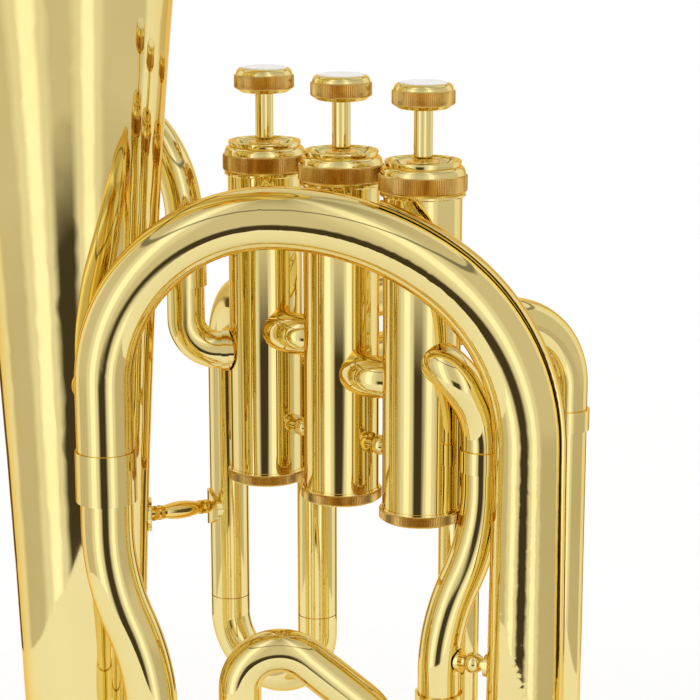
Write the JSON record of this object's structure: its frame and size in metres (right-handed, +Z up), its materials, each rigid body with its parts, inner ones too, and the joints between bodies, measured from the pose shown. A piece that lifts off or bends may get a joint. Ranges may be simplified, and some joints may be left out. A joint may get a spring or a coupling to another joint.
{
  "type": "baritone horn",
  "caption": "Upright conical brass wind instrument with piston valves, upward bell, coiled tubing, pull-out tuning slides and a water key.",
  "frame": {"origin": "lowest point of the bottom bow, where a stand's cradle holds the horn", "axes": "+Z up the bell, +X from the bell axis to the right leg of the bottom bow, +Y towards the player"},
  "size_m": [0.2777, 0.2434, 0.6],
  "materials": {
    "lacquered_brass": "clear gloss lacquer over polished brass",
    "finger_pearl": "pearl inlay, glossy",
    "felt": "pressed wool felt",
    "spring_steel": "drawn wire",
    "nickel_alloy": "lapped nickel alloy",
    "cork": "natural cork"
  },
  "bodies": {
    "horn": {"arch_branch": "lacquered_brass", "arch_guard_plate": "lacquered_brass", "bell": "lacquered_brass", "bell_rim_wire": "lacquered_brass", "bottom_bow": "lacquered_brass", "bottom_bow_ferrules": "lacquered_brass", "bottom_caps": "lacquered_brass", "casing_braces": "lacquered_brass", "leadpipe": "lacquered_brass", "leadpipe_brace": "lacquered_brass", "leadpipe_elbow": "lacquered_brass", "leadpipe_ferrules": "lacquered_brass", "left_branch": "lacquered_brass", "left_ferrule": "lacquered_brass", "left_leg_brace": "lacquered_brass", "loop_crook": "lacquered_brass", "main_slide_outer_tubes": "lacquered_brass", "mouthpiece_receiver": "lacquered_brass", "outlet_elbow": "lacquered_brass", "outlet_ferrule": "lacquered_brass", "return_bow": "lacquered_brass", "return_bow_ferrules": "lacquered_brass", "right_branch": "lacquered_brass", "right_leg_brace": "lacquered_brass", "slide_1_brace": "lacquered_brass", "slide_1_outer_tubes": "lacquered_brass", "slide_2_outer_tubes": "lacquered_brass", "slide_3_elbows": "lacquered_brass", "slide_3_ferrules": "lacquered_brass", "slide_3_outer_tubes": "lacquered_brass", "top_caps": "lacquered_brass", "valve_casing_1": "lacquered_brass", "valve_casing_2": "lacquered_brass", "valve_casing_3": "lacquered_brass", "valve_knuckles": "lacquered_brass", "valve_spring_1": "spring_steel", "valve_spring_2": "spring_steel", "valve_spring_3": "spring_steel"},
    "valve_1": {"piston_1": "nickel_alloy", "valve_stem_1": "lacquered_brass", "valve_felts_1": "felt", "button_1": "lacquered_brass", "finger_pearl_1": "finger_pearl"},
    "valve_2": {"piston_2": "nickel_alloy", "valve_stem_2": "lacquered_brass", "valve_felts_2": "felt", "button_2": "lacquered_brass", "finger_pearl_2": "finger_pearl"},
    "valve_3": {"piston_3": "nickel_alloy", "valve_stem_3": "lacquered_brass", "valve_felts_3": "felt", "button_3": "lacquered_brass", "finger_pearl_3": "finger_pearl"},
    "main_slide": {"main_tuning_slide": "lacquered_brass", "water_key_saddle": "lacquered_brass"},
    "slide_1": {"valve_slide_1": "lacquered_brass"},
    "slide_2": {"valve_slide_2": "lacquered_brass"},
    "slide_3": {"valve_slide_3": "lacquered_brass"},
    "water_key": {"water_key_lever": "lacquered_brass", "water_key_cork": "cork"}
  },
  "joints": [
    {"name": "valve_1_press", "type": "slide", "parent": "horn", "child": "valve_1", "axis": [0, 0, -1], "range_m": [0, 0.015], "stiffness_N_per_m": 150, "springref_m": -0.012, "deforming": ["valve_spring_1"]},
    {"name": "valve_2_press", "type": "slide", "parent": "horn", "child": "valve_2", "axis": [0, 0, -1], "range_m": [0, 0.015], "stiffness_N_per_m": 150, "springref_m": -0.012, "deforming": ["valve_spring_2"]},
    {"name": "valve_3_press", "type": "slide", "parent": "horn", "child": "valve_3", "axis": [0, 0, -1], "range_m": [0, 0.015], "stiffness_N_per_m": 150, "springref_m": -0.012, "deforming": ["valve_spring_3"]},
    {"name": "main_slide_pull", "type": "slide", "parent": "horn", "child": "main_slide", "axis": [0, 0, -1], "range_m": [0, 0.02]},
    {"name": "slide_1_pull", "type": "slide", "parent": "horn", "child": "slide_1", "axis": [0, 0, -1], "range_m": [0, 0.045]},
    {"name": "slide_2_pull", "type": "slide", "parent": "horn", "child": "slide_2", "axis": [0.4791, 0.8778, 0], "range_m": [0, 0.015]},
    {"name": "slide_3_pull", "type": "slide", "parent": "horn", "child": "slide_3", "axis": [0, 0, -1], "range_m": [0, 0.055]},
    {"name": "water_key_open", "type": "hinge", "parent": "main_slide", "child": "water_key", "pos_m": [0.02795, -0.00884, 0.0724], "axis": [-0.6481, 0.7616, 0], "range_deg": [0, 18], "stiffness_Nm_per_rad": 0.02, "springref_deg": -22.92}
  ]
}
